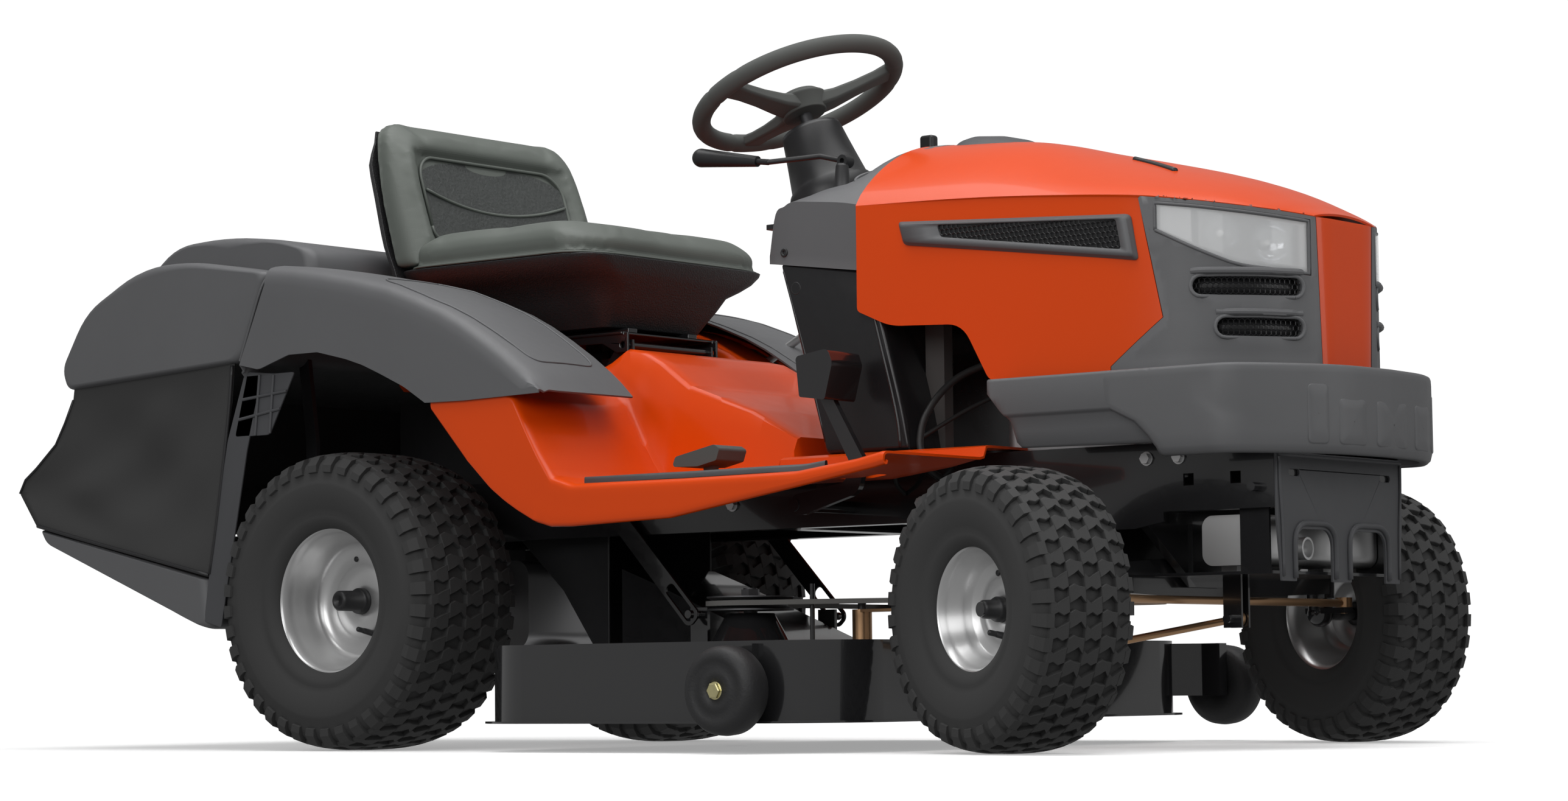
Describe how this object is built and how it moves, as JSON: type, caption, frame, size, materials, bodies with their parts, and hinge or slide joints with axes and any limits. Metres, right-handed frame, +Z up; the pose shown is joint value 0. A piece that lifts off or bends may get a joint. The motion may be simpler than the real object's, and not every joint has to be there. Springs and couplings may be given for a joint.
{
  "type": "riding lawn mower",
  "caption": "Ride-on lawn tractor with a low cutting deck, tilting hood, padded seat, steering wheel, tall rear grass collector and turf tyres.",
  "frame": {"origin": "centre of the bounding box's footprint, on the ground", "axes": "+X towards the hood's nose, +Y to the driver's left, +Z up"},
  "size_m": [2.2505, 1.05, 1.0408],
  "materials": {
    "hood_paint": "glossy orange",
    "frame_paint": "gloss black",
    "trim_grey": "moulded grain",
    "black_plastic": "fine grain",
    "soft_rubber": "matt",
    "tyre_rubber": "matt",
    "rim_paint": "silver paint",
    "vinyl": "grained vinyl",
    "cast_metal": "as cast",
    "bright_steel": "brushed",
    "copper_plate": "zinc chromate",
    "lamp_clear": "clear",
    "lamp_chrome": "bright",
    "bag_mesh": "woven mesh",
    "tank_plastic": "translucent"
  },
  "bodies": {
    "machine": {"chassis_frame": "frame_paint", "rear_frame": "frame_paint", "guard_plate": "trim_grey", "muffler": "bright_steel", "engine_block": "cast_metal", "engine_shroud": "frame_paint", "fuel_tank": "tank_plastic", "battery": "black_plastic", "transaxle": "cast_metal", "dash_tower": "black_plastic", "dash_console": "trim_grey", "column_cover": "black_plastic", "fender_pan": "hood_paint", "fender_covers": "trim_grey", "seat_mount": "frame_paint", "discharge_chute": "black_plastic", "chassis_bolts": "bright_steel", "wiring": "soft_rubber"},
    "steering": {"steering_wheel": "soft_rubber", "steering_shaft": "bright_steel"},
    "sector": {"steering_sector": "bright_steel"},
    "axle": {"front_axle": "frame_paint"},
    "spindle_r": {"spindle_right": "frame_paint"},
    "spindle_l": {"spindle_left": "frame_paint"},
    "track_rod": {"tie_rod": "bright_steel"},
    "front_wheel_r": {"front_tyre_right": "tyre_rubber", "front_rim_right": "rim_paint"},
    "front_wheel_l": {"front_tyre_left": "tyre_rubber", "front_rim_left": "rim_paint"},
    "rear_wheel_r": {"rear_tyre_right": "tyre_rubber", "rear_rim_right": "rim_paint"},
    "rear_wheel_l": {"rear_tyre_left": "tyre_rubber", "rear_rim_left": "rim_paint"},
    "hood": {"hood_shell": "hood_paint", "grille": "trim_grey", "bumper": "trim_grey", "headlamp_reflectors": "lamp_chrome", "headlamp_lenses": "lamp_clear"},
    "seat_base": {"seat_slide": "frame_paint"},
    "seat": {"seat_shell": "black_plastic", "seat_pad": "vinyl"},
    "brake": {"brake_pedal": "frame_paint"},
    "travel": {"travel_pedal": "soft_rubber"},
    "lift_handle": {"lift_lever": "bright_steel"},
    "blade_handle": {"blade_lever": "black_plastic"},
    "throttle": {"throttle_lever": "black_plastic"},
    "key": {"ignition_key": "black_plastic"},
    "deck": {"deck_shell": "frame_paint", "deck_belt": "soft_rubber"},
    "suspension": {"lift_arms": "bright_steel"},
    "link": {"front_link": "copper_plate"},
    "crank": {"engine_pulley": "bright_steel"},
    "blade_r": {"blade_spindle_right": "bright_steel"},
    "blade_l": {"blade_spindle_left": "bright_steel"},
    "idler": {"belt_idler": "bright_steel"},
    "gauge_r": {"gauge_wheel_right": "black_plastic"},
    "gauge_l": {"gauge_wheel_left": "black_plastic"},
    "collector": {"collector_lid": "trim_grey", "collector_bag": "bag_mesh", "collector_pan": "trim_grey"}
  },
  "joints": [
    {"name": "steering_turn", "type": "hinge", "parent": "machine", "child": "steering", "pos_m": [0.13288, 0, 0.969], "axis": [-0.3827, 0, 0.9239], "range_deg": [-152, 456]},
    {"name": "sector_turn", "type": "hinge", "parent": "machine", "child": "sector", "pos_m": [0.48968, 0, 0.39375], "axis": [-0.3827, 0, 0.9239], "range_deg": [-84.36, 28.19]},
    {"name": "axle_rock", "type": "hinge", "parent": "machine", "child": "axle", "pos_m": [0.80588, 0, 0.228], "axis": [1, 0, 0], "range_deg": [-6, 6]},
    {"name": "kingpin_right", "type": "hinge", "parent": "axle", "child": "spindle_r", "pos_m": [0.80588, -0.344, 0.228], "axis": [0, 0, 1], "range_deg": [-19.1, 57.1]},
    {"name": "kingpin_left", "type": "hinge", "parent": "axle", "child": "spindle_l", "pos_m": [0.80588, 0.344, 0.228], "axis": [0, 0, 1], "range_deg": [-19.1, 57.1]},
    {"name": "track_rod_pivot", "type": "hinge", "parent": "spindle_l", "child": "track_rod", "pos_m": [0.85505, 0.32707, 0.198], "axis": [0, 0, 1], "range_deg": [-57.1, 19.1]},
    {"name": "front_wheel_right_roll", "type": "hinge", "parent": "spindle_r", "child": "front_wheel_r", "pos_m": [0.78635, -0.40073, 0.184], "axis": [0.3256, 0.9455, 0], "continuous": true},
    {"name": "front_wheel_left_roll", "type": "hinge", "parent": "spindle_l", "child": "front_wheel_l", "pos_m": [0.82542, 0.40073, 0.184], "axis": [0.3256, 0.9455, 0], "continuous": true},
    {"name": "rear_wheel_right_roll", "type": "hinge", "parent": "machine", "child": "rear_wheel_r", "pos_m": [-0.42612, -0.346, 0.222], "axis": [0, 1, 0], "continuous": true},
    {"name": "rear_wheel_left_roll", "type": "hinge", "parent": "machine", "child": "rear_wheel_l", "pos_m": [-0.42612, 0.346, 0.222], "axis": [0, 1, 0], "continuous": true},
    {"name": "hood_tilt", "type": "hinge", "parent": "machine", "child": "hood", "pos_m": [1.01388, 0, 0.34], "axis": [0, 1, 0], "range_deg": [0, 60]},
    {"name": "seat_tilt", "type": "hinge", "parent": "machine", "child": "seat_base", "pos_m": [-0.12612, 0, 0.604], "axis": [0, 1, 0], "range_deg": [0, 45]},
    {"name": "seat_adjust", "type": "slide", "parent": "seat_base", "child": "seat", "axis": [1, 0, 0], "range_m": [0, 0.06]},
    {"name": "brake_press", "type": "hinge", "parent": "machine", "child": "brake", "pos_m": [0.34988, -0.286, 0.338], "axis": [0, 1, 0], "range_deg": [0, 20], "stiffness_Nm_per_rad": 6, "springref_deg": -17.19},
    {"name": "travel_rock", "type": "hinge", "parent": "machine", "child": "travel", "pos_m": [0.23388, -0.33, 0.385], "axis": [0, 1, 0], "range_deg": [-10, 10], "stiffness_Nm_per_rad": 3},
    {"name": "deck_lift", "type": "slide", "parent": "machine", "child": "deck", "axis": [0, 0, 1], "range_m": [0, 0.055], "deforming": ["deck_belt"]},
    {"name": "lift_handle_turn", "type": "hinge", "parent": "machine", "child": "lift_handle", "pos_m": [-0.17612, 0.33, 0.352], "axis": [0, 1, 0], "range_deg": [-42.1, 0.1]},
    {"name": "suspension_turn", "type": "hinge", "parent": "machine", "child": "suspension", "pos_m": [-0.09012, 0, 0.352], "axis": [0, 1, 0], "range_deg": [-14.8, 0.1]},
    {"name": "link_turn", "type": "hinge", "parent": "machine", "child": "link", "pos_m": [0.91788, -0.062, 0.172], "axis": [0, 1, 0], "range_deg": [-0.1, 10.4]},
    {"name": "blade_engage", "type": "hinge", "parent": "machine", "child": "blade_handle", "pos_m": [0.29588, -0.096, 0.842], "axis": [0, 1, 0], "range_deg": [-16, 0]},
    {"name": "throttle_set", "type": "hinge", "parent": "machine", "child": "throttle", "pos_m": [0.31388, 0.128, 0.838], "axis": [0, 1, 0], "range_deg": [-20, 20]},
    {"name": "key_turn", "type": "hinge", "parent": "machine", "child": "key", "pos_m": [0.25188, -0.15, 0.748], "axis": [1, 0, 0], "range_deg": [0, 90]},
    {"name": "crank_spin", "type": "hinge", "parent": "machine", "child": "crank", "pos_m": [0.69388, 0, 0.206], "axis": [0, 0, 1], "continuous": true},
    {"name": "blade_right_spin", "type": "hinge", "parent": "deck", "child": "blade_r", "pos_m": [0.20888, -0.216, 0.206], "axis": [0, 0, 1], "continuous": true},
    {"name": "blade_left_spin", "type": "hinge", "parent": "deck", "child": "blade_l", "pos_m": [0.20888, 0.216, 0.206], "axis": [0, 0, 1], "continuous": true},
    {"name": "idler_swing", "type": "hinge", "parent": "deck", "child": "idler", "pos_m": [0.33288, -0.118, 0.2], "axis": [0, 0, 1], "range_deg": [-10, 0], "stiffness_Nm_per_rad": 6, "springref_deg": 14.32},
    {"name": "gauge_right_roll", "type": "hinge", "parent": "deck", "child": "gauge_r", "pos_m": [0.39588, -0.496, 0.084], "axis": [0, 1, 0], "continuous": true},
    {"name": "gauge_left_roll", "type": "hinge", "parent": "deck", "child": "gauge_l", "pos_m": [0.54788, 0.496, 0.084], "axis": [0, 1, 0], "continuous": true},
    {"name": "collector_tip", "type": "hinge", "parent": "machine", "child": "collector", "pos_m": [-0.61412, 0, 0.77], "axis": [0, 1, 0], "range_deg": [0, 75]}
  ],
  "couplings": [
    {"joint": "sector_turn", "follows": "steering_turn", "ratio": -0.18478},
    {"joint": "kingpin_right", "follows": "steering_turn", "ratio": 0.125},
    {"joint": "kingpin_left", "follows": "steering_turn", "ratio": 0.125},
    {"joint": "track_rod_pivot", "follows": "steering_turn", "ratio": -0.125},
    {"joint": "lift_handle_turn", "follows": "deck_lift", "rad_per_m": -11.278},
    {"joint": "suspension_turn", "follows": "deck_lift", "rad_per_m": -3.95},
    {"joint": "link_turn", "follows": "deck_lift", "rad_per_m": 2.745},
    {"joint": "blade_right_spin", "follows": "crank_spin", "ratio": 1},
    {"joint": "blade_left_spin", "follows": "crank_spin", "ratio": 1}
  ]
}
